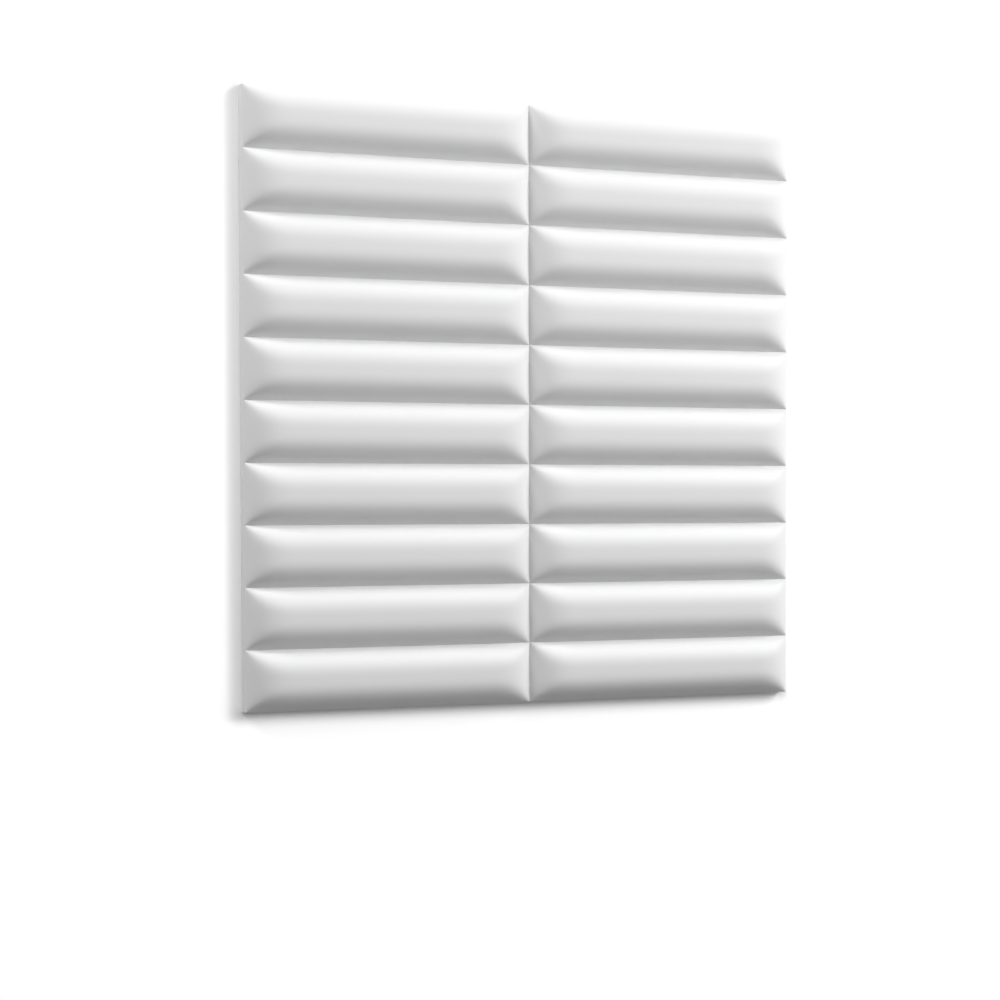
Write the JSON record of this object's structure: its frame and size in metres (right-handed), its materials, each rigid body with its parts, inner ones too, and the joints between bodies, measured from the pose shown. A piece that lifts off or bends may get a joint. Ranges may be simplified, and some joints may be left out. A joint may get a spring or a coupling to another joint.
{
  "type": "wall panel",
  "caption": "Square moulded relief wall panel with rows of long pillow-shaped pads over a flat glue-on back.",
  "frame": {"origin": "centre of the flat back face", "axes": "+X along the pillows, +Y up the panel as it hangs on the wall, +Z out of the face, away from the wall"},
  "size_m": [0.666, 0.666, 0.03],
  "materials": {
    "primed_foam": "matt white factory primer on moulded polyurethane"
  },
  "bodies": {
    "root": {"wall_panel": "primed_foam"}
  },
  "joints": []
}
